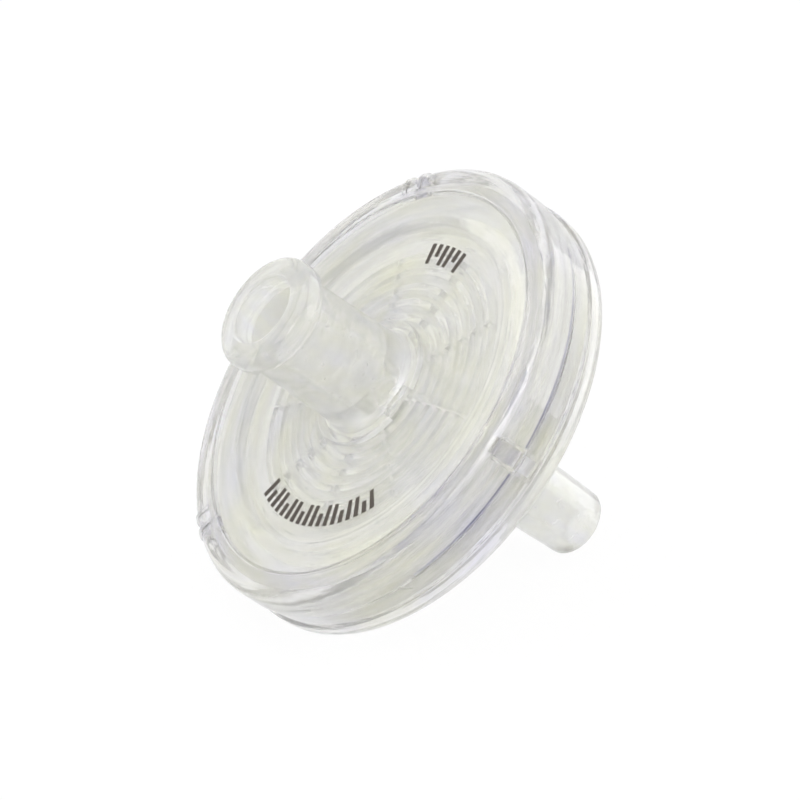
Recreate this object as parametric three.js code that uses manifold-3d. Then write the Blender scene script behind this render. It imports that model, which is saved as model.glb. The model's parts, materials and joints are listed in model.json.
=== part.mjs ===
// Syringe filter with a 28 mm disc: female Luer inlet, male Luer slip outlet, a thin
// membrane clamped between two moulded halves, and a sealing ring moulded over their rims.
// Each piece is drawn about the flow axis, +Z towards the inlet, with z = 0 at the
// membrane's mid-plane. The finished group lies on the ring's rear edge and the outlet tip.
import * as THREE from 'three';
import { mergeVertices } from 'three/addons/utils/BufferGeometryUtils.js';
import Module from 'manifold-3d';

const wasm = await Module();
wasm.setup();

// ---- Driving dimensions, mm ----
const SIDES = 48;                 // facets round the flow axis
const SEAT_GAP = 0.25;            // left between pieces that bear on each other

const RING_OD = 28;               // sealing ring, over the bands
const RING_LIP_HOLD = 0.75;       // how far its lips reach in over the halves
const RING_LIP_T = 0.865;         // lip thickness
const RING_WALL_T = 0.95;         // wall between the lips
const RING_EDGE_R = 0.7;          // rounding of the two outer edges
const RING_LIP_EDGE = 0.22;       // chamfer on a lip's inner edge
const BAND_FRONT_Z = 0.15;        // parting step under the front band
const BAND_REAR_Z = -1.03;        // parting step over the rear band
const BAND_STEP = 0.14;           // how far the middle band lies back
const GROOVE_W = 0.22;            // grooves along both parting steps
const GROOVE_D = 0.2;

const WINDOW_COUNT = 3;           // recessed windows round the front band
const WINDOW_PHASE = 40.5;        // degrees, first window from +X
const WINDOW_W = 0.95;
const WINDOW_D = 0.35;
const WINDOW_TOP = 0.2;           // window stops this far under the ring's top
const RAIL_W = 0.28;              // rails beside a window, up the band and over its edge
const RAIL_PROUD = 0.1;
const RAIL_END = 0.35;            // rails stop this far from the lip's inner edge
const PAD_DEPTH = 0.3;            // pads under the windows, rooted this deep in the middle band
const RING_GATE_W = 1.1;          // wedge where the ring was fed, hanging from the front band
const RING_GATE_PHASE = 241;

const MEMBRANE_T = 0.2;
const CLAMP_W = 0.6;              // rim of the membrane, clamped between the lands
const FLANGE_T = 1.2;             // rim flange of each half, held by the ring
const LAND_W = 2.2;               // land of each half, from the ribs' chamber to its edge
const FACE_EDGE = 0.2;            // chamfer round the raised face of each half
const FACE_DROP = 0.15;           // raised face lies this far under the ring's top
const FACE_W = 1.55;              // width of the raised face round the panel
const PANEL_DROP = 0.35;          // panel under the raised face
const PANEL_T = 0.75;
const PANEL_SLOPE = 0.5;          // width of the slope between the two

const RIB_FIRST_R = 3.5;          // concentric ribs under each panel
const RIB_PITCH = 1.0;
const RIB_W = 0.42;
const CHANNEL_COUNT = 9;          // radial channels through the ribs
const CHANNEL_PHASE = 5.5;        // degrees, first channel from +X
const CHANNEL_W = 0.4;
const CHANNEL_D = 0.15;           // channel floor cut into the panel
const CHANNEL_END = 0.35;         // channels stop this far from the land
const GALLERY_W = 1.8;            // open ring left between the last rib and the land

const INLET_H = 8.6;              // inlet mouth above the raised face
const INLET_BODY_D = 6.0;
const INLET_BODY_DRAFT = 0.12;    // extra radius at the foot
const COLLAR_PROUD = 0.5;         // collar stands out this far from the inlet's body
const COLLAR_H = 1.4;
const COLLAR_ROUND = 0.6;
const LUER_MOUTH_D = 4.27;        // female Luer cone
const LUER_TAPER = 0.06;          // on diameter
const LUER_DEPTH = 7.5;
const LUER_LEAD = 0.2;            // rounding of the mouth
const FEED_D = 2.0;               // hole from the Luer cone to the ribs
const FOOT_W = 0.43;              // flat of the round foot outside the fillet
const FOOT_H = 0.35;
const FOOT_FILLET = 0.45;
const GATE_W = 2.0;               // notch in the foot where the mould was fed
const GATE_PHASE = 276.2;         // degrees from +X

const OUTLET_H = 13.35;           // outlet tip below the rear raised face
const TIP_D = 4.1;                // male Luer cone
const TIP_CONE_L = 9.5;
const TIP_ROUND = 0.4;
const STEM_D = 5.4;               // plain stem between the cone and the rear face
const STEM_SHOULDER = 0.5;
const DRAIN_D = 2.4;              // bore of the outlet
const DRAIN_LAND = 0.39;          // flat between the first rib and the funnel over the bore
const DRAIN_CONE_H = 0.35;

// ---- Sizes that follow ----
const outerR = RING_OD / 2;
const ringInnerR = outerR - RING_WALL_T;
const flangeR = ringInnerR - SEAT_GAP;
const lipR = ringInnerR - RING_LIP_HOLD;
const faceR = lipR - SEAT_GAP;
const landR = flangeR - LAND_W;
const panelR = faceR - FACE_W - PANEL_SLOPE;
const ribCount = Math.floor((landR - GALLERY_W - RIB_FIRST_R) / RIB_PITCH) + 1;
const membraneR = landR + CLAMP_W;
const recessR = membraneR + SEAT_GAP;
const seatZ = MEMBRANE_T / 2 + SEAT_GAP;
const meetZ = SEAT_GAP / 2;
const flangeZ = meetZ + FLANGE_T;
const lipZ = flangeZ + SEAT_GAP;
const ringZ = lipZ + RING_LIP_T;
const faceZ = ringZ - FACE_DROP;
const panelZ = faceZ - PANEL_DROP;
const underZ = panelZ - PANEL_T;
const mouthZ = faceZ + INLET_H;
const tipZ = faceZ + OUTLET_H;

const deg = THREE.MathUtils.degToRad;

// Points along an arc about (x, y), from angle a to angle b in degrees.
function arc(x, y, radius, a, b, steps = 4) {
  return Array.from({ length: steps + 1 }, (_, i) => {
    const t = deg(a + (b - a) * i / steps);
    return [x + radius * Math.cos(t), y + radius * Math.sin(t)];
  });
}

function solidOf(geometry) {
  const g = geometry.index ? geometry : mergeVertices(geometry);
  g.deleteAttribute('normal');
  g.deleteAttribute('uv');
  const merged = mergeVertices(g);
  return new wasm.Manifold(new wasm.Mesh({
    numProp: 3,
    vertProperties: new Float32Array(merged.attributes.position.array),
    triVerts: new Uint32Array(merged.index.array),
  }));
}

// A profile of [radius, z] pairs, anticlockwise, turned about the flow axis.
// A flat, not a corner, faces each of +X, -X, +Y and -Y.
function turned(profile) {
  const points = [...profile, profile[0]].map(([r, z]) => new THREE.Vector2(r, z));
  const g = new THREE.LatheGeometry(points, SIDES, Math.PI / SIDES);
  return g.rotateX(Math.PI / 2);
}

// A block at radius r from the axis, turned to an angle round it.
function blockAt(angle, r0, r1, width, z0, z1) {
  const g = new THREE.BoxGeometry(r1 - r0, width, z1 - z0);
  g.translate((r0 + r1) / 2, 0, (z0 + z1) / 2);
  return solidOf(g.rotateZ(deg(angle)));
}

function around(count, phase, make) {
  return Array.from({ length: count }, (_, i) => make(phase + 360 * i / count));
}

function geometryOf(solid) {
  const mesh = solid.getMesh();
  const g = new THREE.BufferGeometry();
  g.setAttribute('position', new THREE.BufferAttribute(new Float32Array(mesh.vertProperties), 3));
  g.setIndex(new THREE.BufferAttribute(new Uint32Array(mesh.triVerts), 1));
  g.computeVertexNormals();
  return g;
}

// Underside of a panel from the centre hole out: ribs, then the land, with the recess that
// clamps the membrane's rim. Outside the recess the two halves meet.
function ribbedUnderside(holeR) {
  const line = [[holeR, underZ]];
  for (let i = 0; i < ribCount; i++) {
    const r = RIB_FIRST_R + i * RIB_PITCH;
    line.push([r - RIB_W / 2, underZ], [r - RIB_W / 2, seatZ], [r + RIB_W / 2, seatZ],
      [r + RIB_W / 2, underZ]);
  }
  return [...line, [landR, underZ], [landR, seatZ], [recessR, seatZ], [recessR, meetZ]];
}

// Rim of a half from the land out and up: flange, step, raised face, slope to the panel.
function rimAndFace() {
  return [[flangeR, meetZ], [flangeR, flangeZ], [faceR, flangeZ], [faceR, faceZ - FACE_EDGE],
    [faceR - FACE_EDGE, faceZ], [panelR + PANEL_SLOPE, faceZ], [panelR, panelZ]];
}

function cutChannels(half, holeR) {
  return around(CHANNEL_COUNT, CHANNEL_PHASE, (angle) => blockAt(
    angle, holeR - 0.3, landR - CHANNEL_END, CHANNEL_W, seatZ - SEAT_GAP, underZ + CHANNEL_D))
    .reduce((body, channel) => body.subtract(channel), half);
}

// ---- Inlet half: disc with ribs, and the female Luer port on its face ----
const bodyR = INLET_BODY_D / 2;
const bodyFootR = bodyR + INLET_BODY_DRAFT;
const footR = bodyFootR + FOOT_FILLET + FOOT_W;
const footZ = panelZ + FOOT_H;
const collarR = bodyR + COLLAR_PROUD;
const luerFloorZ = mouthZ - LUER_DEPTH;
const luerFloorR = (LUER_MOUTH_D - LUER_TAPER * LUER_DEPTH) / 2;
const luerMouthR = LUER_MOUTH_D / 2;
const feedR = FEED_D / 2;

const inletProfile = [
  ...ribbedUnderside(feedR), ...rimAndFace(),
  [footR, panelZ], [footR, footZ - 0.1], [footR - 0.1, footZ],
  ...arc(bodyFootR + FOOT_FILLET, footZ + FOOT_FILLET, FOOT_FILLET, 270, 180, 2),
  [bodyR, mouthZ - COLLAR_H - (collarR - bodyR) / 2], [collarR, mouthZ - COLLAR_H],
  ...arc(collarR - COLLAR_ROUND, mouthZ - COLLAR_ROUND, COLLAR_ROUND, 0, 90, 3),
  [luerMouthR + LUER_LEAD, mouthZ], [luerMouthR, mouthZ - LUER_LEAD],
  [luerFloorR, luerFloorZ], [feedR, luerFloorZ - (luerFloorR - feedR) / 2],
];
const gateNotch = blockAt(GATE_PHASE, bodyFootR + 0.15, footR + 0.3, GATE_W,
  panelZ, footZ + FOOT_FILLET);
const inletHalf = cutChannels(solidOf(turned(inletProfile)), feedR).subtract(gateNotch);

// ---- Outlet half: the same disc, and the male Luer slip; drawn facing up, then turned over ----
const tipR = TIP_D / 2;
const coneTopR = tipR + LUER_TAPER * TIP_CONE_L / 2;
const stemR = STEM_D / 2;
const drainR = DRAIN_D / 2;
const drainConeR = RIB_FIRST_R - RIB_W / 2 - DRAIN_LAND;

const outletProfile = [
  ...ribbedUnderside(drainConeR), ...rimAndFace(),
  ...arc(stemR + FOOT_FILLET, panelZ + FOOT_FILLET, FOOT_FILLET, 270, 180, 2),
  [stemR, tipZ - TIP_CONE_L - STEM_SHOULDER], [coneTopR, tipZ - TIP_CONE_L],
  ...arc(tipR - TIP_ROUND, tipZ - TIP_ROUND, TIP_ROUND, 0, 90),
  [drainR, tipZ], [drainR, underZ + DRAIN_CONE_H],
];
const turnOver = new THREE.Matrix4().makeRotationX(Math.PI);
const outletHalf = cutChannels(solidOf(turned(outletProfile)), drainR);

// ---- Sealing ring: two lips hold the halves, three bands show outside ----
const bandR = outerR - BAND_STEP;
const ringProfile = [
  [lipR + RING_LIP_EDGE, -ringZ],
  ...arc(outerR - RING_EDGE_R, -ringZ + RING_EDGE_R, RING_EDGE_R, 270, 360),
  [outerR, BAND_REAR_Z - GROOVE_W / 2], [outerR - GROOVE_D, BAND_REAR_Z],
  [bandR, BAND_REAR_Z + GROOVE_W / 2],
  [bandR, BAND_FRONT_Z - GROOVE_W / 2], [outerR - GROOVE_D, BAND_FRONT_Z],
  [outerR, BAND_FRONT_Z + GROOVE_W / 2],
  ...arc(outerR - RING_EDGE_R, ringZ - RING_EDGE_R, RING_EDGE_R, 0, 90),
  [lipR + RING_LIP_EDGE, ringZ], [lipR, ringZ - RING_LIP_EDGE],
  [lipR, lipZ], [ringInnerR, lipZ], [ringInnerR, -lipZ], [lipR, -lipZ],
  [lipR, -ringZ + RING_LIP_EDGE],
];
const windowZ0 = BAND_FRONT_Z + GROOVE_W;
const windowZ1 = ringZ - WINDOW_TOP;
const railInnerR = lipR + RAIL_END;
const railStep = THREE.MathUtils.radToDeg((WINDOW_W + RAIL_W) / 2 / outerR);
const railAngles = around(WINDOW_COUNT, WINDOW_PHASE, (a) => [a - railStep, a + railStep]).flat();

// A thin shell proud of the band and its edge, kept only where a rail runs.
const railShell = solidOf(turned([
  [outerR - WINDOW_D, windowZ0], [outerR + RAIL_PROUD, windowZ0],
  ...arc(outerR - RING_EDGE_R, ringZ - RING_EDGE_R, RING_EDGE_R + RAIL_PROUD, 0, 90),
  [railInnerR, ringZ + RAIL_PROUD], [railInnerR, ringZ - RING_LIP_EDGE],
  [outerR - RING_EDGE_R, ringZ - RING_EDGE_R],
]));
const rails = railAngles.map((angle) => railShell.intersect(
  blockAt(angle, railInnerR - 1, outerR + 1, RAIL_W, windowZ0 - 1, ringZ + 1)));
const windows = around(WINDOW_COUNT, WINDOW_PHASE, (angle) => blockAt(
  angle, outerR - WINDOW_D, outerR + 1, WINDOW_W, windowZ0, windowZ1));

// Under each window a pad fills the middle band out to the bands beside it.
const padShell = solidOf(turned([[bandR - PAD_DEPTH, BAND_REAR_Z], [outerR, BAND_REAR_Z],
  [outerR, BAND_FRONT_Z], [bandR - PAD_DEPTH, BAND_FRONT_Z]]));
const pads = around(WINDOW_COUNT, WINDOW_PHASE, (angle) => padShell.intersect(blockAt(
  angle, bandR - 1, outerR + 1, WINDOW_W + 2 * RAIL_W, BAND_REAR_Z - 1, BAND_FRONT_Z + 1)));

// The ring's gate mark is a block on its corner, half of it inside the front band.
const gateSide = RING_GATE_W / Math.SQRT2;
const gateBlock = new THREE.BoxGeometry(PAD_DEPTH, gateSide, gateSide).rotateX(deg(45));
gateBlock.translate(bandR, 0, BAND_FRONT_Z);
const ringGate = padShell.intersect(solidOf(gateBlock.rotateZ(deg(RING_GATE_PHASE))));

const ringBody = [...rails, ...pads, ringGate].reduce((body, block) => body.add(block),
  solidOf(turned(ringProfile)));
const sealRing = windows.reduce((body, window) => body.subtract(window), ringBody);

// ---- Membrane ----
const membrane = solidOf(turned([[0, -MEMBRANE_T / 2], [membraneR, -MEMBRANE_T / 2],
  [membraneR, MEMBRANE_T / 2], [0, MEMBRANE_T / 2]]));

// ---- Scene graph ----
const clearPP = new THREE.MeshStandardMaterial({ color: 0xdcdcd8, roughness: 0.18, metalness: 0,
  transparent: true, opacity: 0.55 });
const ringPP = new THREE.MeshStandardMaterial({ color: 0xd2d2d6, roughness: 0.2, metalness: 0,
  transparent: true, opacity: 0.6 });
const whiteFilm = new THREE.MeshStandardMaterial({ color: 0xf2f1ec, roughness: 0.8, metalness: 0 });

function piece(name, geometry, material) {
  const mesh = new THREE.Mesh(geometry, material);
  mesh.name = name;
  return mesh;
}

const filter = new THREE.Group();
filter.add(
  piece('inlet_half', geometryOf(inletHalf), clearPP),
  piece('outlet_half', geometryOf(outletHalf).applyMatrix4(turnOver), clearPP),
  piece('membrane', geometryOf(membrane), whiteFilm),
  piece('seal_ring', geometryOf(sealRing), ringPP),
);

// The filter lies on two roundings: the ring's rear edge and the outlet tip. The angle between
// the flow axis and the table is that of the line that touches both from below.
const rimArc = arc(outerR - RING_EDGE_R, -ringZ + RING_EDGE_R, RING_EDGE_R, 270, 360);
const tipArc = arc(tipR - TIP_ROUND, -tipZ + TIP_ROUND, TIP_ROUND, 270, 360);
const flatFactor = Math.cos(Math.PI / SIDES);
const restAngle = Math.min(...tipArc.map(([tr, tz]) => Math.max(...rimArc.map(
  ([r, z]) => Math.atan2((r - tr) * flatFactor, z - tz)))));
filter.rotation.y = restAngle - Math.PI / 2;

const bounds = new THREE.Box3().setFromObject(filter, true);
const middle = bounds.getCenter(new THREE.Vector3());
filter.position.set(-middle.x, -middle.y, -bounds.min.z);

const part = new THREE.Group();
part.add(filter);
export default part;
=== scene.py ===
import json
import math
import bpy
import bmesh
from mathutils import Matrix, Vector


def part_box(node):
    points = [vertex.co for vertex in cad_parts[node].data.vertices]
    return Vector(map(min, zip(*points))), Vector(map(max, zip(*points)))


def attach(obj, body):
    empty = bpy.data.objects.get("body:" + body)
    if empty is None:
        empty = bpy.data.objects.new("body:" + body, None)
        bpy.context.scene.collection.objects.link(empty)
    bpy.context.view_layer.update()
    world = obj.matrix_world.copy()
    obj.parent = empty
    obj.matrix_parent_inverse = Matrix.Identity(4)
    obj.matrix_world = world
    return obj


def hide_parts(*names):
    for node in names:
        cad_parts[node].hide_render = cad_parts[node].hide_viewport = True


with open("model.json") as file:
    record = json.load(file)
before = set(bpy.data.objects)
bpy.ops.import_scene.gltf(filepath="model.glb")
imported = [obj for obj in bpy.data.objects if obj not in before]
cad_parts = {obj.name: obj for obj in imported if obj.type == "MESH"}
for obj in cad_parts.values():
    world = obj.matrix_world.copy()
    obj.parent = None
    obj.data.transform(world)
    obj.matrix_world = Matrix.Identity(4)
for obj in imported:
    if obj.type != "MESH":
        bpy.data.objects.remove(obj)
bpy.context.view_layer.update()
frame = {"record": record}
record = frame["record"]

MM = 0.001
STEPS = 192                      # facets round the flow axis
SHARP_EDGE = 32                  # degrees past which an edge is drawn sharp

# ---- Where the filter lies ----
low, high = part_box("membrane")
seat = (Vector(low) + Vector(high)) / 2
inlet = next(m for m in record["mounts"] if m["name"] == "inlet_mouth")
flow = Vector(inlet["axis"]).normalized()
across = Vector((0, 1, 0)).cross(flow).normalized()
side = flow.cross(across)
place = Matrix.Translation(seat) @ Matrix((across, side, flow)).transposed().to_4x4()
mouth_z = (Vector(inlet["pos_m"]) - seat).dot(flow) / MM

# ---- Sizes, mm, along and about the flow axis; z = 0 at the membrane ----
SEAM = 0.04                      # hairline left where two mouldings meet
LIP_SEAM = 0.09                  # and the open one round the face, under the ring's lip
OUTER_R = 14.0
RING_Z = 2.44
RING_ROUND = 0.7
LIP_R = 12.3
WALL_R = 13.05
LIP_Z = 1.56
FRONT_STEP = 0.15
REAR_STEP = -1.03
BAND_R = 13.86
GROOVE_R = 13.72
GROOVE_H = 0.11                  # half the height of each parting groove
# Painted shade: dark bluish lines under the ring's skin, along the lip and the front step on the
# gate's side, where the seam and the step look dark
SHADE_LINE_W = 0.04
SHADE_LINE_H = 0.1
SHADE_LINE_DEPTH = 0.06                # how far under the skin the painted shade lines lie
WINDOWS = 3
WINDOW_PHASE = 40.5
WINDOW_W = 0.95
WINDOW_D = 0.35
WINDOW_Z = (FRONT_STEP + 0.22, RING_Z - 0.2)
RAIL_W = 0.28
RAIL_PROUD = 0.1
RAIL_STEP = math.degrees((WINDOW_W + RAIL_W) / 2 / OUTER_R)
RING_GATE_PHASE = 241
RING_GATE_W = 1.1

FACE_Z = 2.29
PANEL_Z = 1.94
UNDER_Z = 1.19
SEAT_Z = 0.13
FLANGE_Z = 1.5
PANEL_R = 10.0
LAND_R = 10.6
RIBS = 6
RIB_FIRST_R = 3.5
RIB_PITCH = 1.0
RIB_W = 0.42
CHANNELS = 9
CHANNEL_PHASE = 5.5
CHANNEL_W = 0.2
CHANNEL_EDGE = 0.06
CHANNEL_END_R = 10.25
CHANNEL_TOP_Z = UNDER_Z - 0.01   # the channels part the ribs and leave the plate whole

MEMBRANE_R = 11.2
MEMBRANE_T = 0.16

INK_GAP = 0.004
INK_T = 0.02
PRINT_TOP_R = 9.1
PRINT_LONG_R = 7.8
PRINT_SHORT_R = 8.3
PRINT_PITCH = 4                  # degrees from stroke to stroke
STROKE_W = 2.1                   # degrees
PRINT_ROWS = ((2.5, 6), (168.5, 18))     # where each row starts, degrees, and its strokes

# ---- Ports: Luer socket on the inlet, Luer slip on the outlet ----
MOUTH_Z = mouth_z
COLLAR_R = 3.5
INLET_R = 3.0                    # the inlet's body, which widens a little toward its foot
INLET_FOOT_R = 3.12
FOOT_R = 4.0
FOOT_H = 0.35
SOCKET_R = 2.135
SOCKET_END_R = 1.91
SOCKET_L = 7.5
INLET_BORE_R = 1.0
GATE_NOTCH_PHASE = 276.2

TIP_Z = FACE_Z + 13.35
TIP_R = 2.05
CONE_L = 9.5
CONE_SLOPE = 0.03
STEM_R = 2.7
FUNNEL_R = 2.9                   # the outlet bore opens to this under the membrane
OUTLET_BORE_R = 1.2


# ---- Helpers ----
def linear(hex_code):
    """sRGB hex to scene-linear."""
    out = []
    for i in (1, 3, 5):
        c = int(hex_code[i:i + 2], 16) / 255
        out.append(c / 12.92 if c <= 0.04045 else ((c + 0.055) / 1.055) ** 2.4)
    return (*out, 1.0)


def node(tree, kind, links=None, **settings):
    """Adds a node: settings named after its sockets or attributes, links from other sockets."""
    n = tree.nodes.new(kind)
    for key, value in settings.items():
        if hasattr(n, key):
            setattr(n, key, value)
    for key, value in (links or {}).items():
        socket = n.inputs[key]
        if isinstance(value, bpy.types.NodeSocket):
            tree.links.new(value, socket)
        else:
            socket.default_value = value
    return n


def new_material(name):
    m = bpy.data.materials.new(name)
    m.use_nodes = True
    m.node_tree.nodes.clear()
    return m, m.node_tree


def to_object(bm, name, material=None):
    """Makes an object of a bmesh, its doubles merged and its faces turned outwards."""
    bmesh.ops.remove_doubles(bm, verts=bm.verts, dist=1e-7)
    bmesh.ops.recalc_face_normals(bm, faces=bm.faces)
    mesh = bpy.data.meshes.new(name)
    bm.to_mesh(mesh)
    bm.free()
    obj = bpy.data.objects.new(name, mesh)
    bpy.context.scene.collection.objects.link(obj)
    if material:
        mesh.materials.append(material)
    return obj


def turned(outline, rounds=(), closed=True):
    """An outline of (radius, z) in mm, its named corners rounded, spun about the flow axis."""
    bm = bmesh.new()
    verts = [bm.verts.new((r * MM, 0, z * MM)) for r, z in outline]
    pairs = list(zip(verts, verts[1:]))
    if closed:
        pairs.append((verts[-1], verts[0]))
    for a, b in pairs:
        bm.edges.new((a, b))
    for radius, corners in rounds:
        bmesh.ops.bevel(bm, geom=[verts[i] for i in corners], offset=radius * MM,
                        offset_type="OFFSET", segments=5, profile=0.5,
                        affect="VERTICES", material=-1)
    bmesh.ops.spin(bm, geom=bm.verts[:] + bm.edges[:], cent=(0, 0, 0), axis=(0, 0, 1),
                   dvec=(0, 0, 0), angle=2 * math.pi, steps=STEPS, use_merge=True)
    bmesh.ops.remove_doubles(bm, verts=bm.verts, dist=1e-7)
    bmesh.ops.recalc_face_normals(bm, faces=bm.faces)
    return bm


def swept(bm, outline, start, sweep, steps):
    """A closed bar: an outline of (radius, z) in mm, swept part of the way round the flow axis."""
    verts = [bm.verts.new((r * MM, 0, z * MM)) for r, z in outline]
    face = bm.faces.new(verts)
    bmesh.ops.rotate(bm, verts=verts, cent=(0, 0, 0),
                     matrix=Matrix.Rotation(math.radians(start), 3, "Z"))
    bmesh.ops.spin(bm, geom=[face], cent=(0, 0, 0), axis=(0, 0, 1), dvec=(0, 0, 0),
                   angle=math.radians(sweep), steps=steps)


def add_block(bm, angle, r0, r1, width, z0, z1, edge=0, tip=0):
    """A block standing between two radii, its long edges rounded, tipped about its own radius
    and turned to an angle round the flow axis."""
    size = Matrix.Diagonal(((r1 - r0) * MM, width * MM, (z1 - z0) * MM, 1))
    made = bmesh.ops.create_cube(bm, size=1, matrix=size)["verts"]
    if edge:
        long_edges = {e for v in made for e in v.link_edges
                      if abs(e.verts[0].co.x - e.verts[1].co.x) > 0.5 * (r1 - r0) * MM}
        made = bmesh.ops.bevel(bm, geom=list(long_edges), offset=edge * MM, segments=3,
                               profile=0.5, affect="EDGES", material=-1)["verts"]
    middle = Matrix.Translation(((r0 + r1) / 2 * MM, 0, (z0 + z1) / 2 * MM))
    turn = Matrix.Rotation(math.radians(angle), 4, "Z") @ middle @ Matrix.Rotation(
        math.radians(tip), 4, "X")
    bmesh.ops.transform(bm, matrix=turn, verts=made)


def combine(obj, tool_bm, operation, crossing=False):
    """Joins or cuts obj with the tool mesh and keeps the result; crossing is for tools that
    run through each other."""
    tool = to_object(tool_bm, "tool")
    mod = obj.modifiers.new("combine", "BOOLEAN")
    mod.object = tool
    mod.operation = operation
    mod.solver = "EXACT"
    mod.use_self = crossing
    bpy.context.view_layer.update()
    graph = bpy.context.evaluated_depsgraph_get()
    result = bpy.data.meshes.new_from_object(obj.evaluated_get(graph))
    obj.modifiers.clear()
    old = obj.data
    obj.data = result
    result.name = old.name
    bpy.data.meshes.remove(old)
    bpy.data.objects.remove(tool)
    return obj


def shared(bm_a, bm_b):
    """The volume that two meshes share, as a mesh."""
    obj = combine(to_object(bm_a, "shared"), bm_b, "INTERSECT")
    bm = bmesh.new()
    bm.from_mesh(obj.data)
    bpy.data.objects.remove(obj)
    return bm


def finish(obj, slot, *nodes_replaced):
    """Shades it, lays it in place and hides the parts it replaces."""
    mesh = obj.data
    mesh.polygons.foreach_set("use_smooth", [True] * len(mesh.polygons))
    mesh.set_sharp_from_angle(angle=math.radians(SHARP_EDGE))
    mesh.transform(place)
    mesh.update()
    obj.modifiers.new("flats_shade_flat", "WEIGHTED_NORMAL").keep_sharp = True
    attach(obj, "root")
    if nodes_replaced:
        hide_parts(*nodes_replaced)


# ---- Materials ----
def flow_marks(t):
    """Streaks that the melt left as it ran round the disc, from 0 to 1."""
    at = node(t, "ShaderNodeTexCoord").outputs["Object"]
    upright = place.inverted()
    local = node(t, "ShaderNodeMapping", {"Vector": at, "Location": upright.to_translation(),
                 "Rotation": upright.to_euler()})
    flat = node(t, "ShaderNodeVectorMath", {0: local.outputs[0], 1: (1, 1, 0)},
                operation="MULTIPLY")
    out = node(t, "ShaderNodeVectorMath", {0: flat.outputs[0]}, operation="LENGTH")
    round_it = node(t, "ShaderNodeVectorMath", {0: flat.outputs[0]}, operation="NORMALIZE")
    layer = node(t, "ShaderNodeVectorMath", {0: local.outputs[0], 1: (0, 0, 0.7)},
                 operation="DOT_PRODUCT")
    depth = node(t, "ShaderNodeMath", {0: out.outputs["Value"], 1: layer.outputs["Value"]},
                 operation="ADD")
    streaks = []
    for pitch_mm, turns in ((1.3, 2.2), (0.3, 3.0)):
        stack = node(t, "ShaderNodeMath", {0: depth.outputs[0], 1: 1 / (pitch_mm * MM)},
                     operation="MULTIPLY")
        stack = node(t, "ShaderNodeCombineXYZ", {"Z": stack.outputs[0]})
        swirl = node(t, "ShaderNodeVectorMath", {0: round_it.outputs[0], 1: (turns,) * 3,
                     2: stack.outputs[0]}, operation="MULTIPLY_ADD")
        noise = node(t, "ShaderNodeTexNoise", {"Vector": swirl.outputs[0], "Scale": 1.0,
                     "Detail": 3.0, "Roughness": 0.6, "Distortion": 0.3})
        marks = node(t, "ShaderNodeMapRange", {"Value": noise.outputs["Fac"],
                     "From Min": 0.32, "From Max": 0.68})
        streaks.append(marks.outputs["Result"])
    return streaks


def clear_polypropylene(name, cool, straw, clearness, uneven, haze, streak_mm):
    """Natural polypropylene, injection moulded: see-through but a little milky, bluish and
    straw tinted in turns along the melt's flow, under a skin that the polished mould left
    glossy."""
    m, t = new_material(name)
    marks, fine_marks = flow_marks(t)
    tint = node(t, "ShaderNodeMix", data_type="RGBA")
    t.links.new(marks, tint.inputs["Factor"])
    tint.inputs["A"].default_value = linear(cool)
    tint.inputs["B"].default_value = linear(straw)
    rough = node(t, "ShaderNodeMapRange", {"Value": marks, "To Min": haze, "To Max": haze + 0.08})
    clear = node(t, "ShaderNodeMapRange", {"Value": fine_marks, "To Min": clearness - uneven,
                 "To Max": clearness + uneven})
    bump = node(t, "ShaderNodeBump", {"Height": fine_marks, "Strength": 0.5,
                "Distance": streak_mm * MM})
    skin = node(t, "ShaderNodeBsdfPrincipled", {"Base Color": tint.outputs["Result"],
                "Roughness": rough.outputs["Result"], "IOR": 1.49,
                "Transmission Weight": clear.outputs["Result"], "Coat Weight": 0.5,
                "Coat Roughness": 0.06, "Normal": bump.outputs["Normal"]})
    node(t, "ShaderNodeOutputMaterial", {"Surface": skin.outputs["BSDF"]})
    return m


def porous_film():
    """Cast filter film: matt white, its pores too fine to show, drawn as a faint grain."""
    m, t = new_material("cast_membrane")
    at = node(t, "ShaderNodeTexCoord").outputs["Object"]
    grain = node(t, "ShaderNodeTexNoise", {"Vector": at, "Scale": 1 / (0.25 * MM), "Detail": 4.0})
    tint = node(t, "ShaderNodeMix", data_type="RGBA")
    t.links.new(grain.outputs["Fac"], tint.inputs["Factor"])
    tint.inputs["A"].default_value = linear("#FCFBF2")
    tint.inputs["B"].default_value = linear("#FEFEFA")
    skin = node(t, "ShaderNodeBsdfPrincipled", {"Base Color": tint.outputs["Result"],
                "Roughness": 0.9})
    node(t, "ShaderNodeOutputMaterial", {"Surface": skin.outputs["BSDF"]})
    return m


def pad_ink():
    """Pad-printed ink: near-black brown, a thin satin skin with a slightly uneven edge."""
    m, t = new_material("pad_ink")
    at = node(t, "ShaderNodeTexCoord").outputs["Object"]
    grain = node(t, "ShaderNodeTexNoise", {"Vector": at, "Scale": 1 / (0.15 * MM), "Detail": 3.0})
    tint = node(t, "ShaderNodeMix", data_type="RGBA")
    t.links.new(grain.outputs["Fac"], tint.inputs["Factor"])
    tint.inputs["A"].default_value = linear("#3A322C")
    tint.inputs["B"].default_value = linear("#4E463E")
    skin = node(t, "ShaderNodeBsdfPrincipled", {"Base Color": tint.outputs["Result"],
                "Roughness": 0.45})
    node(t, "ShaderNodeOutputMaterial", {"Surface": skin.outputs["BSDF"]})
    return m


# The housing: even, a little milky right through, and glossy only at its skin.
housing_pp = clear_polypropylene(
    "natural_polypropylene", cool="#F5F5FA", straw="#F9F9EF",
    clearness=0.77, uneven=0.05, haze=0.16, streak_mm=0.001)
# The ring, moulded over it: clearer, and streaked where its melt ran thin.
ring_pp = clear_polypropylene(
    "overmoulded_polypropylene", cool="#F2F1FB", straw="#F7F7EC",
    clearness=0.88, uneven=0.1, haze=0.02, streak_mm=0.015)
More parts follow.
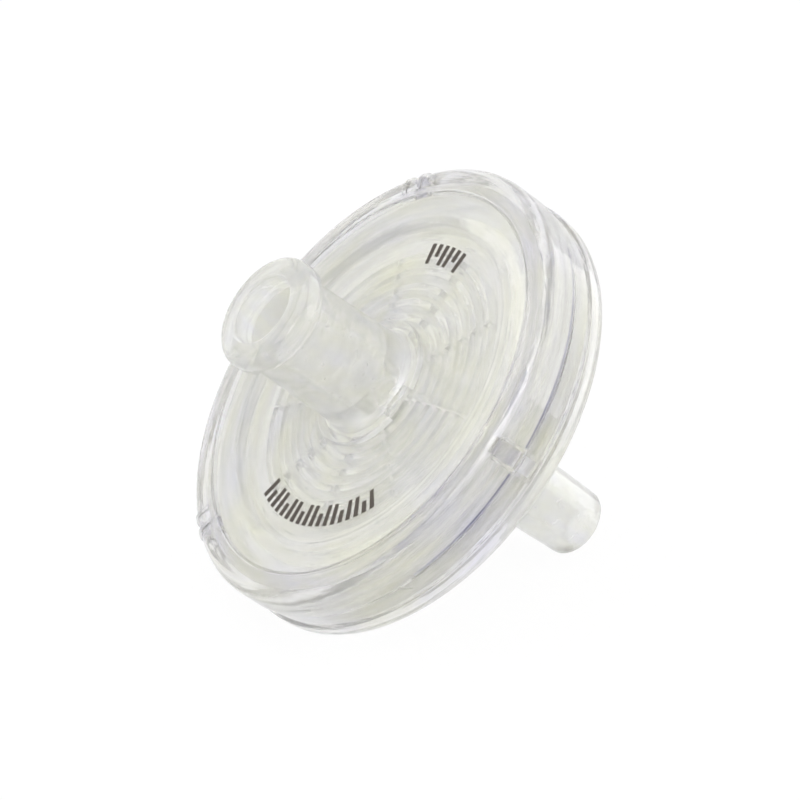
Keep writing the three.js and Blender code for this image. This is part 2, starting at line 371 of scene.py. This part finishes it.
# Painted shade: dark bluish, cloudy lines that stand for the shade in the seam under the lip and
# under the front step.
shade_line_pp = clear_polypropylene(
    "painted_shade_polypropylene", cool="#8688B4", straw="#DCDCEA",
    clearness=0.7, uneven=0.1, haze=0.2, streak_mm=0.01)
# A thin sheet of it behind each window: lavender against the light.
sheet_pp = clear_polypropylene(
    "thin_melt_sheet", cool="#F0EFF8", straw="#F5F4F9",
    clearness=0.88, uneven=0.1, haze=0.06, streak_mm=0.01)
# Painted light: milky white cores that make the rails and pads read light, as lit edges would.
painted_light_core_pp = clear_polypropylene(
    "painted_light_milky_polypropylene", cool="#FCFCFD", straw="#FDFDF8",
    clearness=0.45, uneven=0.1, haze=0.1, streak_mm=0.01)
film = porous_film()
ink = pad_ink()


# ---- Housing halves ----
def ribbed_underside(hole_r):
    line = [(hole_r, UNDER_Z)]
    for i in range(RIBS):
        r = RIB_FIRST_R + i * RIB_PITCH
        line += [(r - RIB_W / 2, UNDER_Z), (r - RIB_W / 2 + 0.03, SEAT_Z),
                 (r + RIB_W / 2 - 0.03, SEAT_Z), (r + RIB_W / 2, UNDER_Z)]
    recess_r = MEMBRANE_R + SEAM
    return line + [(LAND_R, UNDER_Z), (LAND_R, SEAT_Z), (recess_r, SEAT_Z),
                   (recess_r, SEAM / 2)]


def rim_and_face():
    flange_r = WALL_R - SEAM
    face_r = LIP_R - LIP_SEAM
    return [(flange_r, SEAM / 2), (flange_r, FLANGE_Z), (face_r, FLANGE_Z), (face_r, FACE_Z),
            (PANEL_R + 0.5, FACE_Z), (PANEL_R, PANEL_Z)]


def cut_channels(obj, hole_r):
    tool = bmesh.new()
    for i in range(CHANNELS):
        add_block(tool, CHANNEL_PHASE + 360 * i / CHANNELS, hole_r - 0.3, CHANNEL_END_R,
                  CHANNEL_W, SEAT_Z - 0.3, CHANNEL_TOP_Z, CHANNEL_EDGE)
    return combine(obj, tool, "DIFFERENCE", crossing=True)


def inlet_half():
    under = ribbed_underside(INLET_BORE_R)
    rim = rim_and_face()
    port = [(FOOT_R, PANEL_Z), (FOOT_R, PANEL_Z + FOOT_H), (INLET_FOOT_R, PANEL_Z + FOOT_H),
            (INLET_R, MOUTH_Z - 1.65), (COLLAR_R, MOUTH_Z - 1.4), (COLLAR_R, MOUTH_Z),
            (SOCKET_R, MOUTH_Z), (SOCKET_END_R, MOUTH_Z - SOCKET_L),
            (INLET_BORE_R, MOUTH_Z - SOCKET_L - 0.5)]
    outline = under + rim + port
    k = len(under)
    p = k + len(rim)
    bm = turned(outline, [(0.15, [k + 3]), (0.3, [k + 4, k + 5]), (0.08, [p + 1]),
                          (0.45, [p + 2]), (0.2, [p + 3, p + 4]), (0.6, [p + 5]),
                          (0.2, [p + 6])])
    obj = to_object(bm, "inlet_moulding", housing_pp)
    cut_channels(obj, INLET_BORE_R)
    notch = bmesh.new()
    add_block(notch, GATE_NOTCH_PHASE, 3.27, FOOT_R + 0.3, 2.0, PANEL_Z, PANEL_Z + 0.8)
    combine(obj, notch, "DIFFERENCE")
    finish(obj, "clear_pp", "inlet_half")


def outlet_half():
    under = ribbed_underside(FUNNEL_R)
    rim = rim_and_face()
    cone_top = TIP_R + CONE_SLOPE * CONE_L
    port = [(STEM_R, PANEL_Z), (STEM_R, TIP_Z - CONE_L - 0.5), (cone_top, TIP_Z - CONE_L),
            (TIP_R, TIP_Z), (OUTLET_BORE_R, TIP_Z), (OUTLET_BORE_R, UNDER_Z + 0.35)]
    outline = under + rim + port
    k = len(under)
    p = k + len(rim)
    bm = turned(outline, [(0.15, [k + 3]), (0.3, [k + 4, k + 5]), (0.45, [p]),
                          (0.15, [p + 1, p + 2]), (0.4, [p + 3]), (0.12, [p + 4])])
    obj = to_object(bm, "outlet_moulding", housing_pp)
    cut_channels(obj, OUTLET_BORE_R)
    obj.data.transform(Matrix.Rotation(math.pi, 4, "X"))
    finish(obj, "clear_pp", "outlet_half")


# ---- Sealing ring ----
def sealing_ring():
    outline = [(LIP_R, -RING_Z), (OUTER_R, -RING_Z), (OUTER_R, REAR_STEP - GROOVE_H),
               (GROOVE_R, REAR_STEP), (BAND_R, REAR_STEP + GROOVE_H),
               (BAND_R, FRONT_STEP - GROOVE_H), (GROOVE_R, FRONT_STEP),
               (OUTER_R, FRONT_STEP + GROOVE_H), (OUTER_R, RING_Z), (LIP_R, RING_Z),
               (LIP_R, LIP_Z), (WALL_R, LIP_Z), (WALL_R, -LIP_Z), (LIP_R, -LIP_Z)]
    bm = turned(outline, [(RING_ROUND, [1, 8]), (0.2, [0, 9]), (0.05, [2, 7])])
    obj = to_object(bm, "sealing_ring", ring_pp)
    window_foot, window_top = WINDOW_Z
    edge_shell = turned([(OUTER_R - WINDOW_D - 0.1, window_foot),
                         (OUTER_R + RAIL_PROUD, window_foot),
                         (OUTER_R + RAIL_PROUD, RING_Z + RAIL_PROUD),
                         (LIP_R + 0.35, RING_Z + RAIL_PROUD), (LIP_R + 0.35, RING_Z - 0.22),
                         (OUTER_R - RING_ROUND, RING_Z - RING_ROUND)],
                        [(0.05, [1, 3]), (RING_ROUND + 0.06, [2])])
    band_shell = turned([(BAND_R - 0.3, REAR_STEP), (OUTER_R, REAR_STEP), (OUTER_R, FRONT_STEP),
                         (BAND_R - 0.3, FRONT_STEP)], [(0.05, [1, 2])])
    rails, pads, windows = bmesh.new(), bmesh.new(), bmesh.new()
    for i in range(WINDOWS):
        a = WINDOW_PHASE + 360 * i / WINDOWS
        for side_step in (-RAIL_STEP, RAIL_STEP):
            add_block(rails, a + side_step, LIP_R - 1, OUTER_R + 1, RAIL_W, window_foot - 1,
                      RING_Z + 1, 0.06)
        add_block(windows, a, OUTER_R - WINDOW_D, OUTER_R + 1, WINDOW_W, window_foot, window_top,
                  0.08)
        add_block(pads, a, LIP_R, OUTER_R + 1, WINDOW_W + 2 * RAIL_W, REAR_STEP - 1,
                  FRONT_STEP + 1, 0.08)
    wedge = RING_GATE_W / math.sqrt(2)
    add_block(pads, RING_GATE_PHASE, LIP_R, OUTER_R + 1, wedge, FRONT_STEP - wedge / 2,
              FRONT_STEP + wedge / 2, 0.08, tip=45)
    combine(obj, shared(edge_shell, rails), "UNION")
    combine(obj, windows, "DIFFERENCE")
    combine(obj, shared(band_shell, pads), "UNION")
    finish(obj, "ring_pp", "seal_ring")


def painted_shade_lines():
    """Painted shade: dark bluish lines just under the ring's skin, along the lip and the band on
    the gate's side, where the seam and the front step look dark; a thin sheet behind each
    window; and painted light: milky cores inside the rails and pads, so that they read light."""
    lip_r, lip_z = LIP_R + SHADE_LINE_DEPTH, RING_Z - 0.16
    band_r, band_z = GROOVE_R - SHADE_LINE_DEPTH, FRONT_STEP + 0.1
    w, h = SHADE_LINE_W / 2, SHADE_LINE_H / 2
    bm = bmesh.new()
    for r, z, start, end in ((lip_r, lip_z, 244, 277), (lip_r, lip_z, 284, 302),
                             (band_r, band_z, 244, 277), (band_r, band_z, 284, 340)):
        swept(bm, [(r - w, z - h), (r + w, z - h), (r + w, z + h), (r - w, z + h)],
              start, end - start, (end - start) // 2)
    finish(to_object(bm, "painted_shade_lines", shade_line_pp), "ring_pp")
    bm = bmesh.new()
    for i in range(WINDOWS):
        r = OUTER_R - WINDOW_D - 0.06
        add_block(bm, WINDOW_PHASE + 360 * i / WINDOWS, r - 0.02, r + 0.02, WINDOW_W - 0.1,
                  WINDOW_Z[0] + 0.1, WINDOW_Z[1] - 0.3, 0.01)
    finish(to_object(bm, "window_sheets", sheet_pp), "ring_pp")
    # Painted light: milky cores inside the rails and the band pads, so that they read light
    bm = bmesh.new()
    for i in range(WINDOWS):
        a = WINDOW_PHASE + 360 * i / WINDOWS
        for turn in (a - RAIL_STEP, a + RAIL_STEP):
            add_block(bm, turn, OUTER_R - 0.25, OUTER_R - 0.02, RAIL_W - 0.12,
                      WINDOW_Z[0] - 0.1, WINDOW_Z[1] - 0.35, 0.04)
        add_block(bm, a, BAND_R - 0.18, BAND_R - 0.1, WINDOW_W, REAR_STEP + 0.2, FRONT_STEP - 0.2,
                  0.03)
    finish(to_object(bm, "painted_light_rail_cores", painted_light_core_pp), "ring_pp")


# ---- Membrane ----
def membrane():
    bm = turned([(0, -MEMBRANE_T / 2), (MEMBRANE_R, -MEMBRANE_T / 2),
                 (MEMBRANE_R, MEMBRANE_T / 2), (0, MEMBRANE_T / 2)],
                [(0.05, [1, 2])], closed=False)
    finish(to_object(bm, "membrane_film", film), "membrane_film", "membrane")


# ---- Printed marks: plain strokes where the print is ----
def printed_marks():
    bm = bmesh.new()
    z0, z1 = PANEL_Z + INK_GAP, PANEL_Z + INK_GAP + INK_T
    for start, count in PRINT_ROWS:
        for i in range(count):
            r0 = PRINT_SHORT_R if i % 3 == 1 else PRINT_LONG_R
            swept(bm, [(r0, z0), (PRINT_TOP_R, z0), (PRINT_TOP_R, z1), (r0, z1)],
                  start + PRINT_PITCH * i, STROKE_W, 3)
    finish(to_object(bm, "printed_marks", ink), "clear_pp")


inlet_half()
outlet_half()
sealing_ring()
# Painted shade lines on the ring, its window sheets, and milky cores painted light in the rails
# and pads
painted_shade_lines()
membrane()
printed_marks()


# ---- Floor, world, lamps ----
def sees_the_studio(t):
    """1 for the rays that show the studio itself: straight, mirrored and through clear plastic."""
    path = node(t, "ShaderNodeLightPath")
    seen = node(t, "ShaderNodeMath", {0: path.outputs["Is Camera Ray"],
                1: path.outputs["Is Glossy Ray"]}, operation="MAXIMUM")
    return node(t, "ShaderNodeMath", {0: seen.outputs[0],
                1: path.outputs["Is Transmission Ray"]}, operation="MAXIMUM").outputs[0]


def white_floor():
    bm = bmesh.new()
    bmesh.ops.create_grid(bm, x_segments=1, y_segments=1, size=1.5)
    m, t = new_material("white_card")
    share = node(t, "ShaderNodeMath", {0: sees_the_studio(t), 1: 0.95}, operation="MULTIPLY")
    card = node(t, "ShaderNodeBsdfDiffuse", {"Color": linear("#F8F8F8")})
    path = node(t, "ShaderNodeLightPath")
    glow = node(t, "ShaderNodeMapRange", {"Value": path.outputs["Is Camera Ray"], "To Min": 0.86})
    white = node(t, "ShaderNodeEmission", {"Color": (1, 1, 1, 1), "Strength": glow.outputs[0]})
    mix = node(t, "ShaderNodeMixShader", {0: share.outputs[0], 1: card.outputs[0],
               2: white.outputs[0]})
    node(t, "ShaderNodeOutputMaterial", {"Surface": mix.outputs[0]})
    to_object(bm, "floor", m)


def white_studio():
    world = bpy.data.worlds.new("studio")
    bpy.context.scene.world = world
    world.use_nodes = True
    t = world.node_tree
    t.nodes.clear()
    # It gets darker toward one side, which gives clear plastic its grey edges.
    way = node(t, "ShaderNodeTexCoord").outputs["Generated"]
    front = node(t, "ShaderNodeVectorMath", {0: way, 1: (-0.8, -0.6, 0)},
                 operation="DOT_PRODUCT")
    dark = node(t, "ShaderNodeMapRange", {"Value": front.outputs["Value"], "From Min": -0.6,
                "From Max": 0.8, "To Min": 1.0, "To Max": 0.4}, interpolation_type="SMOOTHSTEP")
    white = node(t, "ShaderNodeBackground", {"Color": (1, 1, 1, 1),
                 "Strength": dark.outputs["Result"]})
    soft = node(t, "ShaderNodeBackground", {"Color": (1, 1, 1, 1), "Strength": 0.8})
    mix = node(t, "ShaderNodeMixShader", {0: sees_the_studio(t), 1: soft.outputs[0],
               2: white.outputs[0]})
    node(t, "ShaderNodeOutputWorld", {"Surface": mix.outputs[0]})


def lamp(name, place_at, size, power):
    light = bpy.data.lights.new(name, "AREA")
    light.shape = "DISK"
    light.size = size
    light.energy = power
    obj = bpy.data.objects.new(name, light)
    bpy.context.scene.collection.objects.link(obj)
    obj.location = place_at
    aim = Vector((0, 0, 0.01)) - obj.location
    obj.rotation_euler = aim.to_track_quat("-Z", "Y").to_euler()
    return obj


white_floor()
white_studio()
lamp("key", (-0.25, -0.15, 0.5), 1.0, 2.9)
fill = lamp("fill", (0.5, -0.05, 0.2), 0.8, 1.6)
fill.visible_transmission = False      # it lights the skin, and no bright disc shows inside


# ---- Camera ----
AZIMUTH = math.radians(-23.317)
ELEVATION = math.radians(25.974)
DISTANCE = 0.2840                # m
FACE_MIDDLE = 2.22               # mm above the membrane, what the camera is set against
TO_RIGHT = 1.806                 # mm, to frame the whole filter
DOWN = 1.053
right = Vector((math.cos(AZIMUTH), math.sin(AZIMUTH), 0))
back = Vector((math.sin(AZIMUTH) * math.cos(ELEVATION), -math.cos(AZIMUTH) * math.cos(ELEVATION),
               math.sin(ELEVATION)))
up = back.cross(right)
face_centre = seat + flow * FACE_MIDDLE * MM
cam = bpy.data.cameras.new("camera")
cam.lens = 225
cam.sensor_width = 36
camera = bpy.data.objects.new("camera", cam)
bpy.context.scene.collection.objects.link(camera)
camera.matrix_world = Matrix.Translation(
    face_centre + right * TO_RIGHT * MM - up * DOWN * MM + back * DISTANCE
) @ Matrix((right, up, back)).transposed().to_4x4()
bpy.context.scene.camera = camera

# Light crosses up to a dozen clear walls here, so its path is let run long enough to get out.
bpy.context.scene.cycles.max_bounces = 32
bpy.context.scene.cycles.transmission_bounces = 32
bpy.context.scene.cycles.glossy_bounces = 16
bpy.context.scene.cycles.diffuse_bounces = 8
bpy.context.scene.cycles.blur_glossy = 0     # or the film behind the clear wall turns grey

bpy.context.scene.view_settings.view_transform = "Standard"
